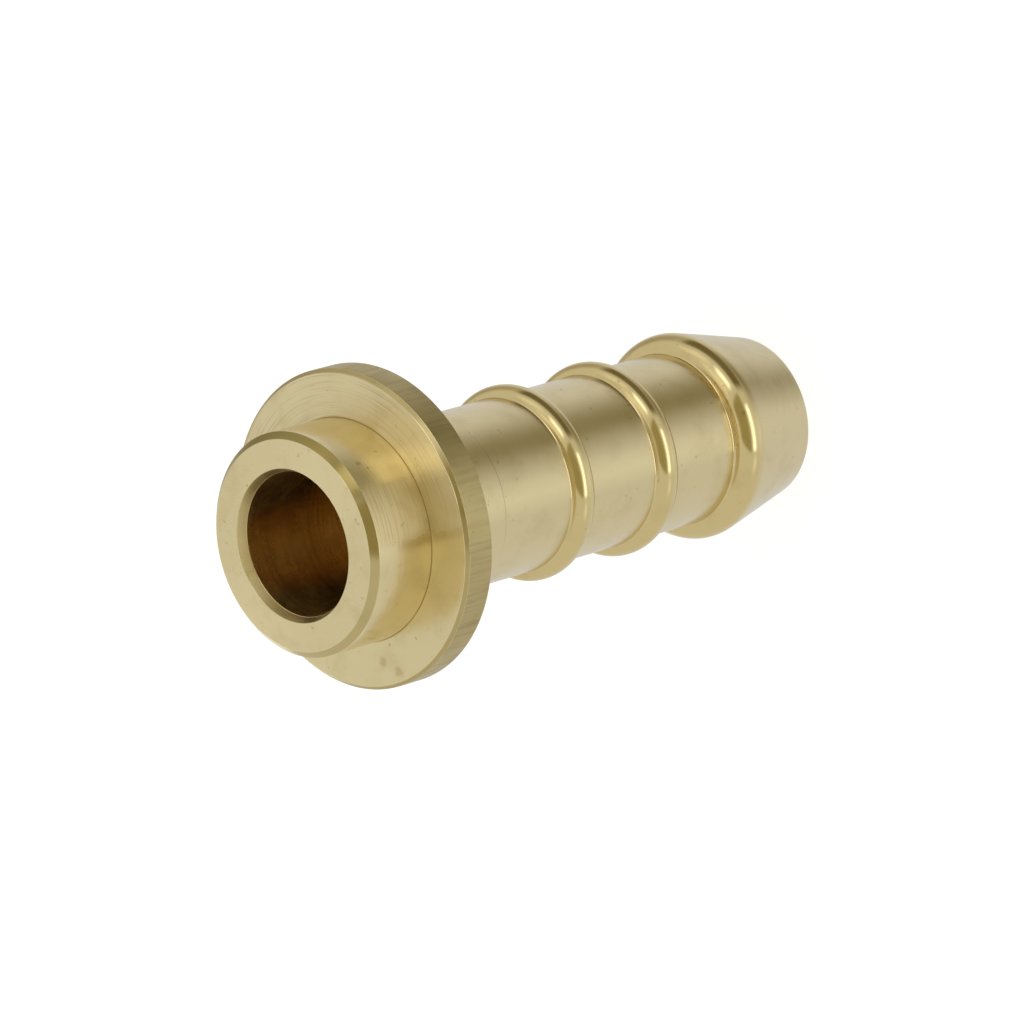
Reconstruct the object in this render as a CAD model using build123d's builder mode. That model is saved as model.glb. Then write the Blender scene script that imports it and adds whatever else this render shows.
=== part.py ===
from build123d import *
import math
import os

# Hose barb tail: a one-piece turned brass hose connector. It stands on the end of its
# tail with the spigot up. The bore runs along +Z, and the origin is the middle of the
# tail's end face. Sizes are in millimetres and angles in degrees.

# Waterway, straight through, with a tapered lead-in at the spigot's mouth
bore_diameter = 9.0
mouth_lead_in_width = 0.28
mouth_lead_in_depth = 0.6
tip_bore_chamfer = 0.2

# Spigot that centres the fitting in its mating part
spigot_diameter = 14.0
spigot_length = 4.9
spigot_chamfer = 0.43

# Flange: the gasket seats on its front, and the union nut bears on its back
flange_diameter = 20.0
flange_thickness = 2.2
flange_front_chamfer = 0.23
flange_back_chamfer = 0.1

# Neck that the loose union nut turns on
neck_diameter = 11.3
neck_length = 5.75
neck_root_chamfer = 0.3

# Hose tail with its half-round ribs
tail_diameter = 11.1
rib_count = 2
rib_pitch = 7.7
rib_section_radius = 0.7
rib_root_chamfer = 0.25
first_rib_distance = 12.7

# Leading barb: a round crest that runs out into a cone
barb_crest_diameter = 13.35
barb_crest_radius = 1.45
barb_root_fillet = 0.4
barb_crest_distance = 6.2
cone_half_angle = 13.0
tip_edge_chamfer = 0.15

# Heights along the axis, from the end of the tail up to the spigot's face
barb_height = barb_crest_distance
rib_heights = [barb_height + rib_pitch * (rib + 1) for rib in range(rib_count)]
flange_back = barb_height + rib_pitch * rib_count + first_rib_distance
flange_front = flange_back + flange_thickness
neck_end = flange_back - neck_length
total_length = flange_front + spigot_length

# Radii of the turned steps
bore_radius = bore_diameter / 2
mouth_radius = bore_radius + mouth_lead_in_width
spigot_radius = spigot_diameter / 2
flange_radius = flange_diameter / 2
neck_radius = neck_diameter / 2
tail_radius = tail_diameter / 2

# The crest's arc leaves the tail at the shoulder, and the cone runs on from it in tangent
taper = math.radians(cone_half_angle)
crest_radius = barb_crest_diameter / 2
crest_centre_radius = crest_radius - barb_crest_radius
shoulder_rise = math.sqrt(barb_crest_radius**2 - (tail_radius - crest_centre_radius) ** 2)
shoulder_height = barb_height + shoulder_rise
cone_start_radius = crest_centre_radius + barb_crest_radius * math.cos(taper)
cone_start_height = barb_height - barb_crest_radius * math.sin(taper)
tip_radius = cone_start_radius - cone_start_height * math.tan(taper)


def corners(*places: tuple[float, float]) -> list[Vertex]:
    """Return the half section's corners at these places, ready to fillet or chamfer.

    Args:
        places: Pairs of a corner's radius and its height above the tail's end.

    Returns:
        The sketch's vertices that lie there.
    """
    return [
        vertex
        for vertex in half_section.vertices()
        for radius, height in places
        if math.isclose(vertex.X, radius, abs_tol=1e-4)
        and math.isclose(vertex.Y, height, abs_tol=1e-4)
    ]


with BuildPart() as hose_tail:
    # Half section of the wall, from the tail's end face up to the spigot's face
    with BuildSketch(Plane.XZ) as half_section:
        with BuildLine() as outline:
            tip_face = Line((bore_radius, 0), (tip_radius, 0))
            cone = Line(tip_face @ 1, (cone_start_radius, cone_start_height))
            crest = ThreePointArc(
                cone @ 1,
                (crest_radius, barb_height),
                (tail_radius, shoulder_height),
            )
            steps = Polyline(
                crest @ 1,
                (tail_radius, neck_end),
                (neck_radius, neck_end),
                (neck_radius, flange_back),
                (flange_radius, flange_back),
                (flange_radius, flange_front),
                (spigot_radius, flange_front),
                (spigot_radius, total_length),
                (mouth_radius, total_length),
                (bore_radius, total_length - mouth_lead_in_depth),
            )
            Line(steps @ 1, tip_face @ 0)
        make_face()
        with Locations(*[(tail_radius, height) for height in rib_heights]):
            Circle(rib_section_radius)

        # Roots: sloped beside the ribs and behind the flange, round at the barb's shoulder
        rib_roots = [
            (tail_radius, height + side * rib_section_radius)
            for height in rib_heights
            for side in (-1, 1)
        ]
        chamfer(corners(*rib_roots), rib_root_chamfer)
        fillet(corners((tail_radius, shoulder_height)), barb_root_fillet)
        chamfer(corners((neck_radius, flange_back)), neck_root_chamfer)

        # Edges broken at both ends and round the flange
        chamfer(corners((tip_radius, 0)), tip_edge_chamfer)
        chamfer(corners((bore_radius, 0)), tip_bore_chamfer)
        chamfer(corners((flange_radius, flange_back)), flange_back_chamfer)
        chamfer(corners((flange_radius, flange_front)), flange_front_chamfer)
        chamfer(corners((spigot_radius, total_length)), spigot_chamfer)
    revolve(axis=Axis.Z)

hose_tail.part.label = "hose_tail"

os.makedirs("parts", exist_ok=True)
export_step(hose_tail.part, "parts/hose_tail.step")
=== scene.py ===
"""Turned brass hose barb tail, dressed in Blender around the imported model's frame."""

import logging
import math
from dataclasses import dataclass, field
from enum import Enum
from typing import Any

import bpy
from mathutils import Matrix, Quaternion, Vector


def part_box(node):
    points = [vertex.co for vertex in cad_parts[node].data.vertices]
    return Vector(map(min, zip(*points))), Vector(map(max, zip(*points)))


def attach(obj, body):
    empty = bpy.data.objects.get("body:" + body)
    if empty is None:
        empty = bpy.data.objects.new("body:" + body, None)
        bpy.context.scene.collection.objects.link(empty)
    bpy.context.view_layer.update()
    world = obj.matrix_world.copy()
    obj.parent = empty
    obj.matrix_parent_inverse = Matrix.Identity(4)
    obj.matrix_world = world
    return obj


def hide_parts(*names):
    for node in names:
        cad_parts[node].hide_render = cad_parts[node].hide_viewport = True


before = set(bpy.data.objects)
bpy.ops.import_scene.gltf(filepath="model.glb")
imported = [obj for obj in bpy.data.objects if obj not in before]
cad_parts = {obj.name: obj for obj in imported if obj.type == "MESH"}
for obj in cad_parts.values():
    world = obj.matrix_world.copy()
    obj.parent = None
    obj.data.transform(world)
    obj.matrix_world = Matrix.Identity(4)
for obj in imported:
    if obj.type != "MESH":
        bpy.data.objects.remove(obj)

logging.basicConfig(level=logging.INFO, format="%(message)s")
log = logging.getLogger("hose_tail")

MM = 0.001
NODE = "hose_tail"
BODY = "root"
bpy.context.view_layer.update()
CAMERA_RAY = "Is Camera Ray"
WHITE = (1.0, 1.0, 1.0, 1.0)

# Distance in metres within which the lathe's seams are joined
SEAM_GAP = 1e-7

# A Mix node's sockets go by number, because their names repeat for each type of data
FACTOR = 0
VECTOR_UNDER = 4
VECTOR_OVER = 5
VECTOR_MIXED = 1
COLOUR_UNDER = 6
COLOUR_OVER = 7
COLOUR_MIXED = 2


class Axis(Enum):
    """The parts that a place, a direction or a set of three values is split into."""

    X = "X"
    Y = "Y"
    Z = "Z"


def srgb(code: str) -> tuple[float, float, float, float]:
    """Turn a sRGB hex colour into a linear colour with full alpha.

    Args:
        code: The colour as six hex digits, with or without a leading hash.

    Returns:
        Linear red, green, blue and an alpha of one.
    """
    digits = code.lstrip("#")
    values = [int(digits[i : i + 2], 16) / 255 for i in (0, 2, 4)]
    linear = [v / 12.92 if v <= 0.04045 else ((v + 0.055) / 1.055) ** 2.4 for v in values]
    return (*linear, 1.0)


def add_node(
    tree: bpy.types.NodeTree,
    kind: str,
    *values: Any,
    named: dict[str | int, Any] | None = None,
    out: str | int = 0,
    **settings: Any,
) -> bpy.types.NodeSocket | None:
    """Add a node with its settings and links.

    Args:
        tree: The node tree that gets the node.
        kind: The node's type name in Blender.
        values: Numbers or output sockets for the node's inputs, in order. None skips one.
        named: Numbers or output sockets for inputs by name or number.
        out: The output to give back, by name or number.
        settings: Values for the node's own properties.

    Returns:
        The chosen output socket, or None for a node without outputs.
    """
    node = tree.nodes.new(kind)
    for name, value in settings.items():
        setattr(node, name, value)
    wanted: dict[str | int, Any] = {**dict(enumerate(values)), **(named or {})}
    for key, value in wanted.items():
        if isinstance(value, bpy.types.NodeSocket):
            tree.links.new(value, node.inputs[key])
        elif value is not None:
            node.inputs[key].default_value = value
    return node.outputs[out] if node.outputs else None


# ---------------------------------------------------------------------------
# The turned outline
# ---------------------------------------------------------------------------


@dataclass(frozen=True)
class Corner:
    """A corner of the turned outline, in millimetres.

    Attributes:
        radius: Distance from the bore's axis.
        height: Height above the tail's end face.
        rounding: Radius of the arc that rounds the corner, or nothing for a sharp one.
    """

    radius: float
    height: float
    rounding: float = 0.0

    @property
    def point(self) -> Vector:
        """The corner as a vector of radius and height."""
        return Vector((self.radius, self.height))


@dataclass(frozen=True)
class BoreSizes:
    """The waterway, in millimetres."""

    radius: float = 4.5
    mouth_width: float = 0.28
    mouth_depth: float = 0.6
    tip_chamfer: float = 0.2


@dataclass(frozen=True)
class HeadSizes:
    """The spigot, the flange and the neck behind it, in millimetres."""

    spigot_radius: float = 7.0
    spigot_length: float = 4.9
    spigot_chamfer: float = 0.43
    flange_thickness: float = 2.2
    flange_front_chamfer: float = 0.23
    flange_back_chamfer: float = 0.1
    neck_radius: float = 5.65
    neck_length: float = 5.75
    neck_root_chamfer: float = 0.3


@dataclass(frozen=True)
class TailSizes:
    """The ribbed tail and its leading barb, in millimetres and degrees."""

    radius: float = 5.55
    rib_heights: tuple[float, ...] = (13.9, 21.6)
    rib_crest_radius: float = 6.25
    rib_section_radius: float = 0.95
    rib_root_fillet: float = 0.15
    barb_height: float = 6.2
    barb_crest_radius: float = 6.675
    barb_section_radius: float = 1.25
    barb_root_fillet: float = 0.15
    cone_half_angle: float = 13.0
    tip_rounding: float = 0.18


@dataclass
class TurnedOutline:
    """The closed section of the fitting's wall, from the tail's end up and round.

    Attributes:
        bore: The waterway's sizes.
        head: The spigot's, flange's and neck's sizes.
        tail: The tail's sizes.
        edge_break: Radius left on each plain edge by a deburring pass, in millimetres.
        inner_round: Radius that the tool's sharp nose leaves in a step, in millimetres.
        arc_step: Largest turn between two points of an arc, in degrees.
        arc_facets: Fewest facets in an arc.
        line_step: Longest run between two points of a line, in millimetres.
        straight: Turn below which a corner needs no arc, in radians.
    """

    bore: BoreSizes = field(default_factory=BoreSizes)
    head: HeadSizes = field(default_factory=HeadSizes)
    tail: TailSizes = field(default_factory=TailSizes)
    edge_break: float = 0.05
    inner_round: float = 0.02
    arc_step: float = 7.0
    arc_facets: int = 3
    line_step: float = 0.45
    straight: float = 1e-4

    def crest(
        self, crest_radius: float, section_radius: float, fillet: float
    ) -> tuple[float, float, float]:
        """Work out the flank of a crest that a fillet leads into from the tail's wall.

        Args:
            crest_radius: Radius of the crest's top, from the bore's axis.
            section_radius: Radius of the crest's own arc.
            fillet: Radius of the fillet at its root.

        Returns:
            The arc centre's radius, the flank's lean from the axis in radians, and the
            distance along the axis from the crest's middle to its root corner.
        """
        centre = crest_radius - section_radius
        lean = math.acos((self.tail.radius + fillet - centre) / (section_radius + fillet))
        run = (section_radius - (self.tail.radius - centre) * math.cos(lean)) / math.sin(lean)
        return centre, lean, run

    def rib(self, height: float) -> list[Corner]:
        """Corners of one rounded rib, from above to below.

        Args:
            height: Height of the rib's middle.

        Returns:
            The upper root, the apex that the crest rounds, and the lower root.
        """
        tail = self.tail
        arc, fillet = tail.rib_section_radius, tail.rib_root_fillet
        centre, lean, run = self.crest(tail.rib_crest_radius, arc, fillet)
        return [
            Corner(tail.radius, height + run, fillet),
            Corner(centre + arc / math.cos(lean), height, arc),
            Corner(tail.radius, height - run, fillet),
        ]

    def barb(self) -> list[Corner]:
        """Corners of the leading barb: its root, its crest's apex and the cone's end."""
        tail = self.tail
        arc, fillet = tail.barb_section_radius, tail.barb_root_fillet
        centre, lean, run = self.crest(tail.barb_crest_radius, arc, fillet)
        taper = math.radians(tail.cone_half_angle)
        cone_radius = centre + arc / math.cos(taper)
        flank_radius = centre + arc / math.cos(lean)
        rise = (flank_radius - cone_radius) / (math.tan(taper) + math.tan(lean))
        tip = cone_radius - tail.barb_height * math.tan(taper)
        apex = Corner(cone_radius + rise * math.tan(taper), tail.barb_height + rise, arc)
        return [
            Corner(tail.radius, tail.barb_height + run, fillet),
            apex,
            Corner(tip, 0.0, tail.tip_rounding),
        ]

    def corners(self, length: float, flange_radius: float) -> list[Corner]:
        """All corners of the wall, up the bore and down the outside.

        Args:
            length: Overall length, in millimetres.
            flange_radius: Radius of the flange's rim, in millimetres.

        Returns:
            The corners in order round the section.
        """
        bore, head, tail = self.bore, self.head, self.tail
        soft, sharp = self.edge_break, self.inner_round
        flange_front = length - head.spigot_length
        flange_back = flange_front - head.flange_thickness
        neck_end = flange_back - head.neck_length
        outline = [
            Corner(bore.radius + bore.tip_chamfer, 0.0, soft),
            Corner(bore.radius, bore.tip_chamfer, soft),
            Corner(bore.radius, length - bore.mouth_depth, soft),
            Corner(bore.radius + bore.mouth_width, length, soft),
            Corner(head.spigot_radius - head.spigot_chamfer, length, soft),
            Corner(head.spigot_radius, length - head.spigot_chamfer, soft),
            Corner(head.spigot_radius, flange_front, sharp),
            Corner(flange_radius - head.flange_front_chamfer, flange_front, soft),
            Corner(flange_radius, flange_front - head.flange_front_chamfer, soft),
            Corner(flange_radius, flange_back + head.flange_back_chamfer, soft),
            Corner(flange_radius - head.flange_back_chamfer, flange_back, soft),
            Corner(head.neck_radius + head.neck_root_chamfer, flange_back, soft),
            Corner(head.neck_radius, flange_back - head.neck_root_chamfer, soft),
            Corner(head.neck_radius, neck_end + sharp, sharp),
            Corner(tail.radius, neck_end - sharp, sharp),
        ]
        for height in sorted(tail.rib_heights, reverse=True):
            outline += self.rib(height)
        return outline + self.barb()

    def points(self, length: float, flange_radius: float) -> list[tuple[float, float]]:
        """Points of the closed section, dense enough to turn into a smooth surface.

        Args:
            length: Overall length, in millimetres.
            flange_radius: Radius of the flange's rim, in millimetres.

        Returns:
            Pairs of radius and height, in millimetres, without a repeated last point.
        """
        corners = self.corners(length, flange_radius)
        rounded: list[list[Vector]] = []
        for index, corner in enumerate(corners):
            before = corners[index - 1].point
            after = corners[(index + 1) % len(corners)].point
            rounded.append(self._round(corner, before, after))
        outline: list[tuple[float, float]] = []
        for index, arc in enumerate(rounded):
            start, end = arc[-1], rounded[(index + 1) % len(rounded)][0]
            steps = max(1, math.ceil((end - start).length / self.line_step))
            outline += [(p.x, p.y) for p in arc]
            outline += [
                (spot.x, spot.y)
                for spot in (start.lerp(end, step / steps) for step in range(1, steps))
            ]
        return outline

    def _round(self, corner: Corner, before: Vector, after: Vector) -> list[Vector]:
        """Points of the arc that rounds one corner.

        Args:
            corner: The corner to round.
            before: The corner before it.
            after: The corner after it.

        Returns:
            The arc's points, or the corner alone where it stays sharp.
        """
        inward = (before - corner.point).normalized()
        outward = (after - corner.point).normalized()
        turn = math.pi - inward.angle(outward)
        if corner.rounding <= 0 or turn < self.straight:
            return [corner.point]
        reach = corner.rounding * math.tan(turn / 2)
        start = corner.point + inward * reach
        end = corner.point + outward * reach
        middle = (inward + outward).normalized()
        centre = corner.point + middle * (corner.rounding / math.cos(turn / 2))
        steps = max(self.arc_facets, math.ceil(math.degrees(turn) / self.arc_step))
        first, last = start - centre, end - centre
        side = 1 if first.x * last.y - first.y * last.x > 0 else -1
        return [
            centre + _turned(first, side * turn * step / steps) for step in range(steps + 1)
        ]


def _turned(spoke: Vector, angle: float) -> Vector:
    """Turn a flat vector by an angle in radians, anticlockwise."""
    cos, sin = math.cos(angle), math.sin(angle)
    return Vector((spoke.x * cos - spoke.y * sin, spoke.x * sin + spoke.y * cos))


# ---------------------------------------------------------------------------
# The lathe, as Geometry Nodes
# ---------------------------------------------------------------------------


class Lathe:
    """Geometry Nodes that turn a closed chain of section points round the Z axis."""

    def __init__(self) -> None:
        """Build the node tree."""
        tree = bpy.data.node_groups.new("lathe", "GeometryNodeTree")
        tree.is_modifier = True
        sockets = {
            "Section": "NodeSocketGeometry",
            "Section Points": "NodeSocketInt",
            "Facets Round": "NodeSocketInt",
            "Weld Distance": "NodeSocketFloat",
            "Finish": "NodeSocketMaterial",
        }
        for name, kind in sockets.items():
            tree.interface.new_socket(name, in_out="INPUT", socket_type=kind)
        tree.interface.new_socket(
            "Turned Body", in_out="OUTPUT", socket_type="NodeSocketGeometry"
        )
        self.tree = tree
        self._wire()

    def _wire(self) -> None:
        """Lay a grid over the section and the full turn, then weld its two seams."""
        tree = self.tree
        ins = tree.nodes.new("NodeGroupInput").outputs
        points, facets = ins["Section Points"], ins["Facets Round"]
        rows = add_node(tree, "ShaderNodeMath", points, 1.0, operation="ADD")
        columns = add_node(tree, "ShaderNodeMath", facets, 1.0, operation="ADD")
        grid = add_node(
            tree,
            "GeometryNodeMeshGrid",
            named={"Vertices X": rows, "Vertices Y": columns},
            out="Mesh",
        )
        index = add_node(tree, "GeometryNodeInputIndex")
        place = add_node(tree, "GeometryNodeInputPosition")
        share = add_node(tree, "ShaderNodeMath", index, columns, operation="DIVIDE")
        row = add_node(tree, "ShaderNodeMath", share, operation="FLOOR")
        column = add_node(tree, "ShaderNodeMath", index, columns, operation="FLOORED_MODULO")
        turns = add_node(tree, "ShaderNodeMath", column, facets, operation="DIVIDE")
        angle = add_node(tree, "ShaderNodeMath", turns, math.tau, operation="MULTIPLY")
        spot = add_node(
            tree,
            "GeometryNodeSampleIndex",
            data_type="FLOAT_VECTOR",
            domain="POINT",
            named={
                "Geometry": ins["Section"],
                "Value": place,
                "Index": add_node(
                    tree, "ShaderNodeMath", row, points, operation="FLOORED_MODULO"
                ),
            },
        )
        turned = add_node(
            tree,
            "ShaderNodeVectorRotate",
            rotation_type="Z_AXIS",
            named={"Vector": spot, "Angle": angle},
        )
        laid = add_node(
            tree, "GeometryNodeSetPosition", named={"Geometry": grid, "Position": turned}
        )
        welded = add_node(
            tree,
            "GeometryNodeMergeByDistance",
            named={"Geometry": laid, "Distance": ins["Weld Distance"]},
        )
        smooth = add_node(tree, "GeometryNodeSetShadeSmooth", named={"Geometry": welded})
        real = add_node(tree, "GeometryNodeRealizeInstances", smooth)
        dressed = add_node(
            tree, "GeometryNodeSetMaterial", named={"Geometry": real, "Material": ins["Finish"]}
        )
        add_node(tree, "NodeGroupOutput", dressed)

    def turn(
        self,
        name: str,
        section: list[tuple[float, float]],
        facets: int,
        finish: bpy.types.Material,
    ) -> bpy.types.Object:
        """Turn a section into a plain mesh object.

        Args:
            name: The new object's name.
            section: Pairs of radius and height, in millimetres, round the closed section.
            facets: Number of facets in a full turn.
            finish: The material that the surface gets.

        Returns:
            The turned object, in metres, at the origin.
        """
        chain = bpy.data.meshes.new(f"{name}_section")
        spots = [(radius * MM, 0.0, height * MM) for radius, height in section]
        chain.from_pydata(spots, [(i, i + 1) for i in range(len(spots) - 1)], [])
        blank = bpy.data.objects.new(f"{name}_blank", chain)
        bpy.context.scene.collection.objects.link(blank)
        modifier = blank.modifiers.new("lathe", "NODES")
        modifier.node_group = self.tree
        values = {
            "Section Points": len(spots),
            "Facets Round": facets,
            "Weld Distance": SEAM_GAP,
            "Finish": finish,
        }
        for socket in self.tree.interface.items_tree:
            if socket.in_out == "INPUT" and socket.name in values:
                modifier[socket.identifier] = values[socket.name]
        graph = bpy.context.evaluated_depsgraph_get()
        mesh = bpy.data.meshes.new_from_object(blank.evaluated_get(graph))
        mesh.name = name
        blank.modifiers.remove(modifier)
        bpy.data.objects.remove(blank)
        bpy.data.meshes.remove(chain)
        piece = bpy.data.objects.new(name, mesh)
        bpy.context.scene.collection.objects.link(piece)
        return piece


# ---------------------------------------------------------------------------
# Brass
# ---------------------------------------------------------------------------


@dataclass(frozen=True)
class Zone:
    """A band of the surface that was made in its own way, or that holds a painted reflection.

    Attributes:
        name: What the band is.
        colour: The metal's colour there.
        roughness: The surface's roughness there.
        rings: Strength of the tool's rings, where one is the plain turned wall's.
        streaks: Strength of the drawn bar's streaks along the axis.
        radii: The band's inner and outer radius, in millimetres.
        heights: The band's lower and upper height, in millimetres.
        blend: Width over which the band fades out, in millimetres.
        beyond: Where given, the band only lies on the side of +X beyond this, in millimetres.
        side_fade: Width over which it fades in there, in millimetres.
    """

    name: str
    colour: str
    roughness: float
    rings: float
    streaks: float
    radii: tuple[float, float]
    heights: tuple[float, float]
    blend: float
    beyond: float | None = None
    side_fade: float = 0.8

    def mask(
        self,
        tree: bpy.types.NodeTree,
        radius: bpy.types.NodeSocket,
        height: bpy.types.NodeSocket,
        side: bpy.types.NodeSocket,
    ) -> bpy.types.NodeSocket:
        """Nodes that give one inside the band and fade to nothing outside it.

        Args:
            tree: The material's node tree.
            radius: The point's radius, in millimetres.
            height: The point's height, in millimetres.
            side: The point's place along X, in millimetres.

        Returns:
            The mask's socket.
        """
        depth: Any = None
        for place, (low, high) in ((radius, self.radii), (height, self.heights)):
            above = add_node(tree, "ShaderNodeMath", place, low, operation="SUBTRACT")
            below = add_node(tree, "ShaderNodeMath", high, place, operation="SUBTRACT")
            inside = add_node(tree, "ShaderNodeMath", above, below, operation="MINIMUM")
            if depth is not None:
                inside = add_node(tree, "ShaderNodeMath", depth, inside, operation="MINIMUM")
            depth = inside
        half = self.blend / 2
        inside = add_node(
            tree,
            "ShaderNodeMapRange",
            depth,
            -half,
            half,
            0.0,
            1.0,
            interpolation_type="SMOOTHSTEP",
        )
        if self.beyond is None:
            return inside
        reach = add_node(
            tree,
            "ShaderNodeMapRange",
            side,
            self.beyond,
            self.beyond + self.side_fade,
            0.0,
            1.0,
            interpolation_type="SMOOTHSTEP",
        )
        return add_node(tree, "ShaderNodeMath", inside, reach, operation="MULTIPLY")


@dataclass(frozen=True)
class Mark:
    """A small mark that handling, storage or the metal itself left.

    Attributes:
        name: What the mark is.
        place: Its middle, in millimetres.
        radius: Its reach, in millimetres.
        colour: Its colour.
        strength: How far its colour covers the brass.
        depth: How deep it is dented, in millimetres.
        core: Share of its reach that is at full strength.
    """

    name: str
    place: tuple[float, float, float]
    radius: float
    colour: str
    strength: float
    depth: float = 0.0
    core: float = 0.25


@dataclass(frozen=True)
class Cloud:
    """A cloudy pattern over the metal, between a level and another.

    Attributes:
        size: Width of its patches, in millimetres.
        noise: The noise at which it leaves its first level, and at which it is at its last.
        levels: Its first level and its last.
        detail: Octaves of finer patches inside the main ones.
        grain: Weight of the finer patches.
    """

    size: float
    noise: tuple[float, float]
    levels: tuple[float, float]
    detail: float = 3.0
    grain: float = 0.5

    def level(self, tree: bpy.types.NodeTree, place: Any) -> bpy.types.NodeSocket:
        """Nodes that give the pattern's level.

        Args:
            tree: The material's node tree.
            place: The point's place, in millimetres.

        Returns:
            The level's socket.
        """
        noise = add_node(
            tree,
            "ShaderNodeTexNoise",
            named={
                "Vector": place,
                "Scale": 1 / self.size,
                "Detail": self.detail,
                "Roughness": self.grain,
            },
        )
        return add_node(
            tree, "ShaderNodeMapRange", noise, *self.noise, *self.levels, clamp=True
        )


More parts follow.
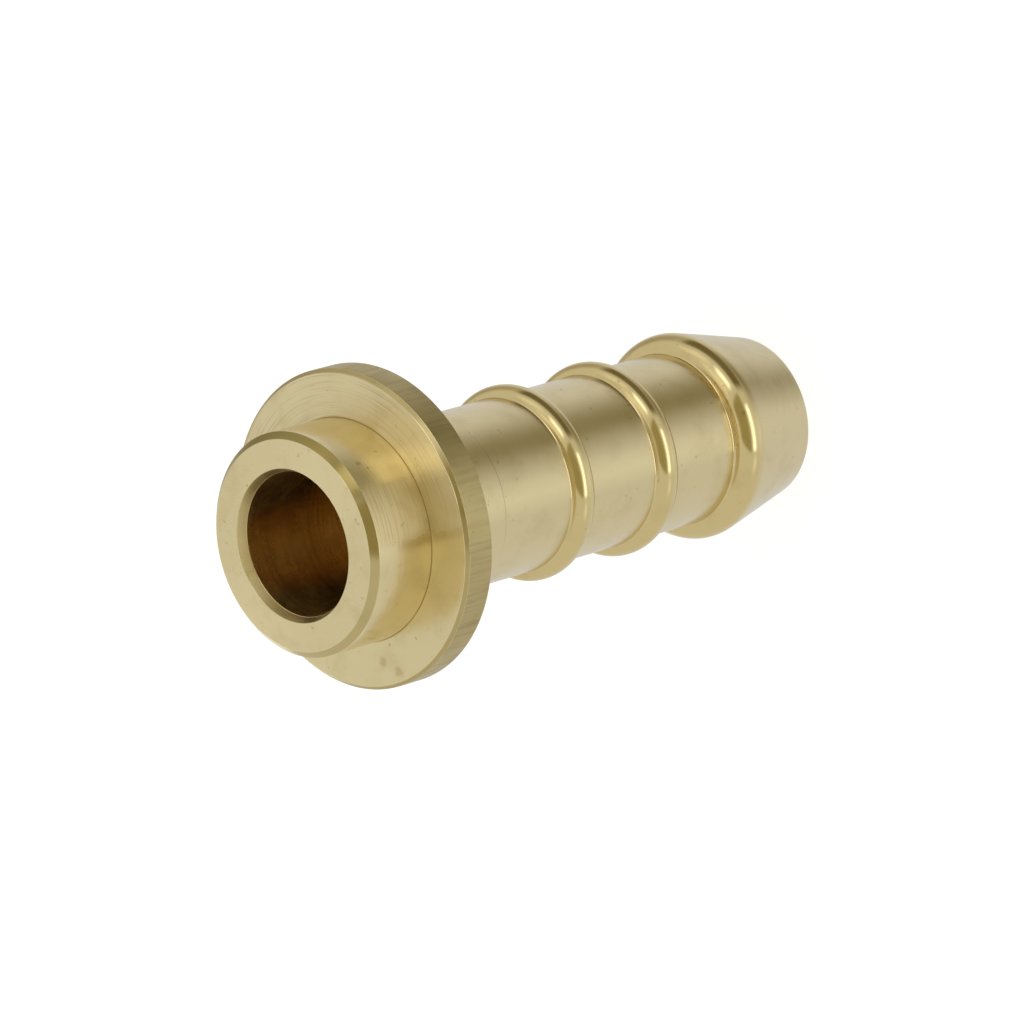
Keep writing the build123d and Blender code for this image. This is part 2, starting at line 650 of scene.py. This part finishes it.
@dataclass(frozen=True)
class TurnedBrass:
    """Free-cutting brass, turned from drawn bar and left bare.

    The cutting tool leaves fine rings round the axis, so reflections stay crisp round the
    part and smear along it. The form-turned ribs are glossier and deeper in colour, and the
    flange's rim is the bar's own drawn skin, duller and streaked along the axis.

    Attributes:
        name: The material's name.
        colour: The bare metal's colour, which is that of its reflections.
        roughness: The plain turned wall's roughness.
        anisotropy: How much further reflections spread across the rings than along them.
        across: Turn that lays the spread across the rings, as a share of a full turn.
        ring_pitch: Distance between the fine rings, in millimetres. A finishing cut leaves
            0.05 to 0.1, which is too fine to show, so they are drawn coarser.
        coarse_pitch: Distance between the deeper rings, in millimetres.
        face_pace: Rings to the millimetre on a face, against those on a wall.
        tail_rings: Strength of the rings on the tail and neck.
        ring_depth: Depth of a fine ring, in millimetres.
        ring_length: Length of a fine ring's run before it fades, in millimetres.
        coarse_depth: Depth of a deeper ring, in millimetres.
        coarse_length: Length of a deeper ring's run before it fades, in millimetres.
        cut_detail: Octaves of finer scratches in the rings.
        cut_grain: Weight of the finer scratches.
        sectors: How strongly the tool cut in each part of a turn.
        grime_and_shade_colour: Colour of the dirt in the deepest rings, and of the painted shade
            line under the neck's step.
        grime_noise: The ring's own noise at which the dirt starts, and at which it is full.
        grime_levels: How far the dirt covers the metal at the first and at the last.
        grime_rings: Strength of rings at which the dirt starts to lie, and at which it is full.
        step_height: Height of the painted shade line where the tail's cut ends, in millimetres.
        step_reach: Half width of that line and of its fading edge, in millimetres.
        step_shade_strength: How far the painted shade covers the metal on that line.
        streak_width: Width of a streak in the drawn skin, in millimetres. The die's own
            lines are finer than can show, so they are drawn coarser.
        streak_length: Length of a streak, in millimetres.
        skin: The streaks' pattern, in streak widths and lengths.
        skin_colour: Colour of the streaks.
        polish: Uneven polish, as a factor of the roughness.
        tarnish: Faint cloudy tarnish from storage.
        tarnish_colour: Colour of the tarnish.
        specks: Small dark spots from handling.
        speck_colour: Colour of the specks.
        ragged: Unevenness of the single marks' edges, as a factor of their reach.
        zones: Bands cut in their own way, and a painted reflection, each laid over those before
            it.
        marks: Single marks, each laid over those before it.
    """

    name: str = "turned_brass"
    colour: str = "#E2D2A3"
    roughness: float = 0.18
    anisotropy: float = 0.8
    across: float = 0.25
    ring_pitch: float = 0.13
    coarse_pitch: float = 0.62
    face_pace: float = 1.3
    tail_rings: float = 0.5
    ring_depth: float = 0.003
    ring_length: float = 8.0
    coarse_depth: float = 0.004
    coarse_length: float = 24.0
    cut_detail: float = 3.0
    cut_grain: float = 0.6
    sectors: Cloud = Cloud(3.5, (0.35, 0.65), (0.35, 1.4), detail=2.0)
    grime_and_shade_colour: str = "#9C8452"
    grime_noise: tuple[float, float] = (0.5, 0.3)
    grime_levels: tuple[float, float] = (0.0, 0.4)
    grime_rings: tuple[float, float] = (2.0, 5.0)
    step_height: float = 28.5
    step_reach: tuple[float, float] = (0.03, 0.1)
    step_shade_strength: float = 0.5
    streak_width: float = 0.4
    streak_length: float = 5.0
    skin: Cloud = Cloud(1.0, (0.45, 0.7), (0.0, 0.5), detail=4.0, grain=0.7)
    skin_colour: str = "#A08A62"
    polish: Cloud = Cloud(1.7, (0.3, 0.7), (0.85, 1.2))
    tarnish: Cloud = Cloud(2.4, (0.5, 0.72), (0.0, 0.25), detail=5.0, grain=0.6)
    tarnish_colour: str = "#B9A468"
    specks: Cloud = Cloud(0.42, (0.69, 0.78), (0.0, 0.4), detail=2.0)
    speck_colour: str = "#8E7B45"
    ragged: Cloud = Cloud(0.5, (0.3, 0.7), (0.45, 1.35))
    zones: tuple[Zone, ...] = (
        Zone("form_turned_ribs", "#E0CE99", 0.14, 0.2, 0.0, (5.6, 6.9), (5.8, 22.7), 0.1),
        Zone("spigot_wall", "#E9D9A9", 0.17, 1.5, 0.0, (6.9, 7.1), (36.5, 40.97), 0.04),
        Zone("wall_scored", "#E9D9A9", 0.36, 5.0, 0.0, (6.9, 7.1), (36.5, 40.97), 0.04, -1.9),
        Zone("wall_smooth", "#E9D9A9", 0.17, 1.5, 0.0, (6.9, 7.1), (36.5, 40.97), 0.04, 1.75),
        Zone("spigot_chamfer", "#CDBC88", 0.18, 0.5, 0.0, (6.59, 7.1), (40.97, 41.39), 0.03),
        # Painted reflection: the chamfer is darker on its +X side, standing in for the
        # reflection of a dark card
        Zone("chamfer_painted_reflection", "#A39259", 0.22, 0.5, 0.0, (6.59, 7.1), (40.97, 41.39), 0.03, 1.2),
        Zone("flange_front", "#EADDB2", 0.2, 2.0, 0.0, (7.02, 9.77), (36.4, 36.6), 0.04),
        Zone("flange_scored", "#EDE0B7", 0.34, 6.0, 0.0, (7.02, 9.77), (36.4, 36.6), 0.04, -2.0),
        Zone("flange_edge", "#C4B37F", 0.3, 0.0, 0.0, (9.79, 9.98), (36.29, 36.49), 0.02),
        Zone("flange_rim", "#C4B480", 0.33, 0.3, 1.0, (9.96, 10.1), (34.38, 36.27), 0.04),
        Zone("spigot_face", "#EADCB1", 0.28, 1.0, 0.0, (4.8, 6.6), (41.38, 41.5), 0.04),
        Zone("mouth", "#E4D4A0", 0.28, 0.4, 0.0, (4.51, 4.79), (40.8, 41.39), 0.03),
        Zone("root_line", "#C2A96A", 0.3, 0.0, 0.0, (6.96, 7.04), (36.46, 36.54), 0.03),
        Zone("bore", "#DDBC73", 0.26, 5.0, 0.0, (4.3, 4.52), (0.1, 40.82), 0.04),
    )
    marks: tuple[Mark, ...] = (
        Mark("pit", (-2.5, -5.31, 22.22), 0.17, "#4A3312", 0.9, 0.03),
        Mark("nick", (-3.5, -4.5, 13.1), 0.3, "#8F7D46", 0.4, 0.02),
        Mark("heat_tint_start", (3.62, -4.21, 8.29), 0.4, "#DDB45C", 0.5),
        Mark("heat_tint_high", (3.09, -4.65, 7.74), 0.5, "#DDB45C", 0.5),
        Mark("heat_tint_middle", (2.51, -5.11, 7.6), 0.45, "#DDB45C", 0.5),
        Mark("heat_tint", (1.96, -5.47, 7.53), 0.5, "#DDB45C", 0.5),
        Mark("heat_tint_end", (1.31, -5.73, 7.49), 0.4, "#DDB45C", 0.5),
        Mark("flange_stain", (-8.31, 0.28, 36.5), 0.5, "#B59C5C", 0.4),
        Mark("flange_stain_rim", (-9.15, -0.85, 36.5), 0.55, "#B59C5C", 0.4),
        Mark("chamfer_speck", (2.2, -6.5, 41.2), 0.16, "#7C6A38", 0.6),
        Mark("wall_speck", (3.7, -5.95, 39.9), 0.22, "#8C7A40", 0.5),
        Mark("wall_speck_low", (3.3, -6.2, 39.4), 0.14, "#8C7A40", 0.5),
    )

    def material(self) -> bpy.types.Material:
        """Build the material."""
        brass = bpy.data.materials.new(self.name)
        brass.use_nodes = True
        tree = brass.node_tree
        tree.nodes.clear()
        place = add_node(
            tree,
            "ShaderNodeVectorMath",
            add_node(tree, "ShaderNodeTexCoord", out="Object"),
            named={"Scale": 1 / MM},
            operation="SCALE",
        )
        side = add_node(tree, "ShaderNodeSeparateXYZ", place, out=Axis.X.value)
        height = add_node(tree, "ShaderNodeSeparateXYZ", place, out=Axis.Z.value)
        radius = add_node(
            tree,
            "ShaderNodeVectorMath",
            add_node(tree, "ShaderNodeVectorMath", place, (1.0, 1.0, 0.0), operation="MULTIPLY"),
            operation="LENGTH",
            out="Value",
        )
        layers: list[tuple[bpy.types.NodeSocket, str]] = []
        make: Any = (self.roughness, self.tail_rings, 0.0)
        for zone in self.zones:
            mask = zone.mask(tree, radius, height, side)
            layers.append((mask, zone.colour))
            cut = (zone.roughness, zone.rings, zone.streaks)
            make = add_node(
                tree,
                "ShaderNodeMix",
                data_type="VECTOR",
                named={FACTOR: mask, VECTOR_UNDER: make, VECTOR_OVER: cut},
                out=VECTOR_MIXED,
            )
        roughness, rings, streaks = (
            add_node(tree, "ShaderNodeSeparateXYZ", make, out=axis.value) for axis in Axis
        )
        layers += self._stains(tree, place, streaks)
        spots, dents = self._spots(tree, place)
        layers += spots
        bump, grime_and_step_shade = self._grooves(tree, place, radius, height, rings, dents)
        # One layer holds the dirt in the rings and the painted shade line under the neck's step
        layers.append((grime_and_step_shade, self.grime_and_shade_colour))
        colour: Any = srgb(self.colour)
        for mask, code in layers:
            colour = add_node(
                tree,
                "ShaderNodeMix",
                data_type="RGBA",
                named={FACTOR: mask, COLOUR_UNDER: colour, COLOUR_OVER: srgb(code)},
                out=COLOUR_MIXED,
            )
        polish = self.polish.level(tree, place)
        rough = add_node(tree, "ShaderNodeMath", roughness, polish, operation="MULTIPLY")
        shader = add_node(
            tree,
            "ShaderNodeBsdfPrincipled",
            named={
                "Base Color": colour,
                "Metallic": 1.0,
                "Roughness": rough,
                "Anisotropic": self.anisotropy,
                "Anisotropic Rotation": self.across,
                "Normal": bump,
                "Tangent": add_node(
                    tree, "ShaderNodeTangent", direction_type="RADIAL", axis=Axis.Z.value
                ),
            },
        )
        add_node(tree, "ShaderNodeOutputMaterial", shader)
        return brass

    def _stains(
        self, tree: bpy.types.NodeTree, place: Any, streaks: Any
    ) -> list[tuple[bpy.types.NodeSocket, str]]:
        """Masks and colours of the tarnish, the specks and the drawn bar's streaks.

        Args:
            tree: The material's node tree.
            place: The point's place, in millimetres.
            streaks: Strength of the drawn skin's streaks there.

        Returns:
            The layers in the order in which they lie.
        """
        stretched = add_node(
            tree,
            "ShaderNodeVectorMath",
            place,
            (1 / self.streak_width, 1 / self.streak_width, 1 / self.streak_length),
            operation="MULTIPLY",
        )
        drawn = self.skin.level(tree, stretched)
        pull = add_node(tree, "ShaderNodeMath", drawn, streaks, operation="MULTIPLY")
        return [
            (self.tarnish.level(tree, place), self.tarnish_colour),
            (self.specks.level(tree, place), self.speck_colour),
            (pull, self.skin_colour),
        ]

    def _spots(
        self, tree: bpy.types.NodeTree, place: Any
    ) -> tuple[list[tuple[bpy.types.NodeSocket, str]], Any]:
        """Masks and colours of the single marks, and the sum of their dents.

        Args:
            tree: The material's node tree.
            place: The point's place, in millimetres.

        Returns:
            The layers in the order in which they lie, and the dents' height.
        """
        layers: list[tuple[bpy.types.NodeSocket, str]] = []
        dents: Any = 0.0
        edge = self.ragged.level(tree, place)
        for mark in self.marks:
            away = add_node(
                tree,
                "ShaderNodeVectorMath",
                place,
                mark.place,
                operation="DISTANCE",
                out="Value",
            )
            worn = add_node(tree, "ShaderNodeMath", away, edge, operation="DIVIDE")
            cover = add_node(
                tree,
                "ShaderNodeMapRange",
                worn,
                mark.radius * mark.core,
                mark.radius,
                mark.strength,
                0.0,
                interpolation_type="SMOOTHSTEP",
            )
            layers.append((cover, mark.colour))
            if mark.depth:
                dents = add_node(
                    tree,
                    "ShaderNodeMath",
                    cover,
                    -mark.depth,
                    dents,
                    operation="MULTIPLY_ADD",
                )
        return layers, dents

    def _grooves(
        self,
        tree: bpy.types.NodeTree,
        place: Any,
        radius: Any,
        height: Any,
        rings: Any,
        dents: Any,
    ) -> tuple[bpy.types.NodeSocket, bpy.types.NodeSocket]:
        """Bump and dirt for the tool's rings, strong in some sectors only, and a painted shade
        line.

        Args:
            tree: The material's node tree.
            place: The point's place, in millimetres.
            radius: The point's radius, in millimetres.
            height: The point's height, in millimetres.
            rings: Strength of the rings there.
            dents: Height of the single marks' dents, in millimetres.

        Returns:
            The bumped normal, and how far the dirt and the painted shade line cover the metal.
        """
        # A ring keeps its radius on a face and its height on a wall, so both count
        along = add_node(
            tree, "ShaderNodeMath", radius, self.face_pace, height, operation="MULTIPLY_ADD"
        )
        sector = self.sectors.level(tree, place)
        cuts = []
        for pitch, length in (
            (self.ring_pitch, self.ring_length),
            (self.coarse_pitch, self.coarse_length),
        ):
            flat = add_node(
                tree,
                "ShaderNodeVectorMath",
                place,
                (1 / length, 1 / length, 0.0),
                operation="MULTIPLY",
            )
            lift = add_node(
                tree,
                "ShaderNodeCombineXYZ",
                0.0,
                0.0,
                add_node(tree, "ShaderNodeMath", along, 1 / pitch, operation="MULTIPLY"),
            )
            cuts.append(
                add_node(
                    tree,
                    "ShaderNodeTexNoise",
                    named={
                        "Vector": add_node(
                            tree, "ShaderNodeVectorMath", flat, lift, operation="ADD"
                        ),
                        "Scale": 1.0,
                        "Detail": self.cut_detail,
                        "Roughness": self.cut_grain,
                    },
                )
            )
        fine, coarse = cuts
        cut = add_node(
            tree,
            "ShaderNodeMath",
            fine,
            self.ring_depth,
            add_node(
                tree, "ShaderNodeMath", coarse, self.coarse_depth, operation="MULTIPLY"
            ),
            operation="MULTIPLY_ADD",
        )
        depth = add_node(
            tree,
            "ShaderNodeMath",
            add_node(tree, "ShaderNodeMath", cut, sector, operation="MULTIPLY"),
            rings,
            dents,
            operation="MULTIPLY_ADD",
        )
        bump = add_node(
            tree,
            "ShaderNodeBump",
            named={"Strength": 1.0, "Distance": MM, "Height": depth},
        )
        low = add_node(
            tree, "ShaderNodeMapRange", fine, *self.grime_noise, *self.grime_levels, clamp=True
        )
        strong = add_node(
            tree, "ShaderNodeMapRange", rings, *self.grime_rings, 0.0, 1.0, clamp=True
        )
        sooty = add_node(
            tree,
            "ShaderNodeMath",
            add_node(tree, "ShaderNodeMath", low, strong, operation="MULTIPLY"),
            sector,
            operation="MULTIPLY",
            use_clamp=True,
        )
        # Painted shade: a thin dark line on the tail just under the neck's step, standing in for
        # its shadow
        step = add_node(tree, "ShaderNodeMath", height, self.step_height, operation="SUBTRACT")
        step_shade_mask = add_node(
            tree,
            "ShaderNodeMapRange",
            add_node(tree, "ShaderNodeMath", step, operation="ABSOLUTE"),
            *self.step_reach,
            self.step_shade_strength,
            0.0,
            clamp=True,
        )
        return bump, add_node(tree, "ShaderNodeMath", sooty, step_shade_mask, operation="MAXIMUM")


# ---------------------------------------------------------------------------
# The fitting
# ---------------------------------------------------------------------------


@dataclass
class HoseTail:
    """The whole fitting: one turned piece.

    Attributes:
        outline: The section that the lathe turns.
        finish: The metal's finish.
        facets: Number of facets in a full turn.
    """

    outline: TurnedOutline = field(default_factory=TurnedOutline)
    finish: TurnedBrass = field(default_factory=TurnedBrass)
    facets: int = 192

    def build(self) -> bpy.types.Object:
        """Turn the fitting to the frame's own length and flange."""
        low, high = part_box(NODE)
        section = self.outline.points((high.z - low.z) / MM, (high.x - low.x) / 2 / MM)
        body = Lathe().turn("turned_body", section, self.facets, self.finish.material())
        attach(body, BODY)
        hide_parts(NODE)
        return body


# ---------------------------------------------------------------------------
# Studio
# ---------------------------------------------------------------------------


@dataclass(frozen=True)
class Panel:
    """A soft-edged area of the studio's surroundings, in degrees.

    Attributes:
        name: What stands there.
        azimuth: Direction of its middle round the Z axis, from -Y towards +X.
        elevation: Height of its middle above the horizon.
        reach: Half its width and half its height.
        fade: Width of the faded border at its sides and at its top and bottom.
        light: Light that it gives, as red, green and blue.
    """

    name: str
    azimuth: float
    elevation: float
    reach: tuple[float, float]
    fade: tuple[float, float]
    light: tuple[float, float, float]

    def mask(
        self, tree: bpy.types.NodeTree, around: Any, lift: Any
    ) -> bpy.types.NodeSocket:
        """Nodes that give one inside the panel and fade to nothing outside it.

        Args:
            tree: The surroundings' node tree.
            around: The direction's azimuth, in degrees.
            lift: The direction's elevation, in degrees.

        Returns:
            The mask's socket.
        """
        turn = add_node(tree, "ShaderNodeMath", around, self.azimuth, operation="SUBTRACT")
        turn = add_node(tree, "ShaderNodeMath", turn, 180.0, -180.0, operation="WRAP")
        rise = add_node(tree, "ShaderNodeMath", lift, self.elevation, operation="SUBTRACT")
        fades = []
        for angle, half, soft in zip((turn, rise), self.reach, self.fade):
            size = add_node(tree, "ShaderNodeMath", angle, operation="ABSOLUTE")
            fades.append(
                add_node(
                    tree,
                    "ShaderNodeMapRange",
                    size,
                    max(half - soft / 2, 0.0),
                    half + soft / 2,
                    1.0,
                    0.0,
                    interpolation_type="SMOOTHSTEP",
                )
            )
        return add_node(tree, "ShaderNodeMath", *fades, operation="MULTIPLY")


@dataclass(frozen=True)
class Studio:
    """A white sweep with one soft lamp, a dark card and some soft reflectors round it.

    Attributes:
        plain: Light from where no panel stands, as red, green and blue.
        panels: The soft panels, each laid over those before it.
        floor_half: Half the width of the floor, in metres.
        paper: Colour of the floor's matt white paper, which throws even light back up.
        floor_glow: Light that the floor shows the camera, where one is white.
        floor_shade: Share of the room's light that the floor adds, and a shadow takes away.
    """

    plain: tuple[float, float, float] = (0.71, 0.69, 0.635)
    panels: tuple[Panel, ...] = (
        Panel("floor_bounce", 0, -75, (180, 38), (1, 20), (0.73, 0.735, 0.76)),
        Panel("overhead", 0, 90, (180, 12), (1, 10), (1.1, 1.1, 1.1)),
        Panel("back_wall", -169, -2, (9, 32), (13, 18), (1.15, 1.15, 1.13)),
        Panel("right_side", 130, -12, (28, 16), (28, 20), (0.45, 0.41, 0.33)),
        Panel("dark_table", 50, -52, (0, 22), (116, 30), (0.28, 0.25, 0.165)),
        Panel("dark_card", 66, -11, (36, 19), (13, 10), (0.18, 0.15, 0.085)),
        Panel("ceiling", -4, 42, (30, 28), (6, 12), (0.38, 0.33, 0.17)),
        Panel("high_right", 72, 60, (26, 10), (16, 10), (1.0, 0.94, 0.8)),
        Panel("wide_reflector", 90, 33, (18, 9), (16, 10), (0.95, 0.92, 0.86)),
        Panel("near_reflector", 50, 36, (13, 9), (9, 10), (1.75, 1.75, 1.8)),
        Panel("lamp_skirt", -20, -46, (14, 14), (28, 20), (0.86, 0.865, 0.88)),
        Panel("lamp_side", -46, -6, (8, 8), (12, 12), (0.95, 0.95, 0.95)),
        Panel("soft_lamp", -10, -4, (22, 9), (6, 9), (2.0, 2.0, 2.05)),
    )
    floor_half: float = 3.0
    paper: str = "#F2F2F0"
    floor_glow: float = 0.86
    floor_shade: float = 0.3

    def build(self) -> None:
        """Make the floor and the surroundings."""
        self._floor()
        self._world()

    def _world(self) -> None:
        """Surroundings: white to the camera, the studio to everything else."""
        world = bpy.data.worlds.new("studio")
        bpy.context.scene.world = world
        world.use_nodes = True
        tree = world.node_tree
        tree.nodes.clear()
        direction = add_node(tree, "ShaderNodeTexCoord", out="Generated")
        x, y, z = (
            add_node(tree, "ShaderNodeSeparateXYZ", direction, out=axis.value) for axis in Axis
        )
        front = add_node(tree, "ShaderNodeMath", y, -1.0, operation="MULTIPLY")
        around = add_node(
            tree,
            "ShaderNodeMath",
            add_node(tree, "ShaderNodeMath", x, front, operation="ARCTAN2"),
            operation="DEGREES",
        )
        lift = add_node(
            tree,
            "ShaderNodeMath",
            add_node(tree, "ShaderNodeMath", z, operation="ARCSINE"),
            operation="DEGREES",
        )
        light: Any = (*self.plain, 1.0)
        for panel in self.panels:
            mask = panel.mask(tree, around, lift)
            light = add_node(
                tree,
                "ShaderNodeMix",
                data_type="RGBA",
                named={FACTOR: mask, COLOUR_UNDER: light, COLOUR_OVER: (*panel.light, 1.0)},
                out=COLOUR_MIXED,
            )
        room = add_node(tree, "ShaderNodeBackground", light, 1.0)
        white = add_node(tree, "ShaderNodeBackground", WHITE, 1.0)
        seen = add_node(tree, "ShaderNodeLightPath", out=CAMERA_RAY)
        add_node(
            tree,
            "ShaderNodeOutputWorld",
            add_node(tree, "ShaderNodeMixShader", seen, room, white),
        )

    def _floor(self) -> None:
        """A wide pale floor that shows white and keeps the shadow."""
        half = self.floor_half
        mesh = bpy.data.meshes.new("floor")
        rim = [(-half, -half, 0.0), (half, -half, 0.0), (half, half, 0.0), (-half, half, 0.0)]
        mesh.from_pydata(rim, [], [(0, 1, 2, 3)])
        floor = bpy.data.objects.new("floor", mesh)
        bpy.context.scene.collection.objects.link(floor)
        paper = bpy.data.materials.new("white_paper")
        paper.use_nodes = True
        tree = paper.node_tree
        tree.nodes.clear()
        shade = self.floor_shade
        matt = add_node(tree, "ShaderNodeBsdfDiffuse", srgb(self.paper))
        faint = add_node(tree, "ShaderNodeBsdfDiffuse", (shade, shade, shade, 1.0))
        glow = add_node(tree, "ShaderNodeEmission", WHITE, self.floor_glow)
        shown = add_node(tree, "ShaderNodeAddShader", faint, glow)
        seen = add_node(tree, "ShaderNodeLightPath", out=CAMERA_RAY)
        add_node(
            tree,
            "ShaderNodeOutputMaterial",
            add_node(tree, "ShaderNodeMixShader", seen, matt, shown),
        )
        mesh.materials.append(paper)
        floor.visible_glossy = False


@dataclass(frozen=True)
class ProductCamera:
    """A long lens that looks down on the standing fitting, rolled so that it lies across.

    Attributes:
        position: Where the camera stands, in millimetres.
        aim: The point in the middle of the picture, in millimetres.
        roll: Turn of the camera about its own line of sight, in degrees.
        lens: Focal length, in millimetres.
        sensor_width: Width of the sensor, in millimetres.
        nearest: Distance within which the camera sees nothing, in metres.
    """

    position: tuple[float, float, float] = (0.032, -321.30, 336.957)
    aim: tuple[float, float, float] = (-1.667, 0.056, 22.674)
    roll: float = -105.9575
    lens: float = 253.774
    sensor_width: float = 36.0
    nearest: float = 0.01

    def build(self) -> bpy.types.Object:
        """Place the camera and make it the scene's own."""
        data = bpy.data.cameras.new("product_camera")
        data.lens = self.lens
        data.sensor_width = self.sensor_width
        data.clip_start = self.nearest
        camera = bpy.data.objects.new("product_camera", data)
        bpy.context.scene.collection.objects.link(camera)
        place = Vector(self.position) * MM
        sight = Vector(self.aim) * MM - place
        level = sight.to_track_quat("-Z", "Y")
        camera.location = place
        camera.rotation_mode = "QUATERNION"
        camera.rotation_quaternion = level @ Quaternion((0, 0, 1), math.radians(self.roll))
        bpy.context.scene.camera = camera
        return camera


def main() -> None:
    """Build the studio and the fitting, and log the fitting's face count."""
    bpy.context.scene.view_settings.view_transform = "Standard"
    ProductCamera().build()
    Studio().build()
    body = HoseTail().build()
    log.info("%s: %d faces", body.name, len(body.data.polygons))


if __name__ == "__main__":
    main()
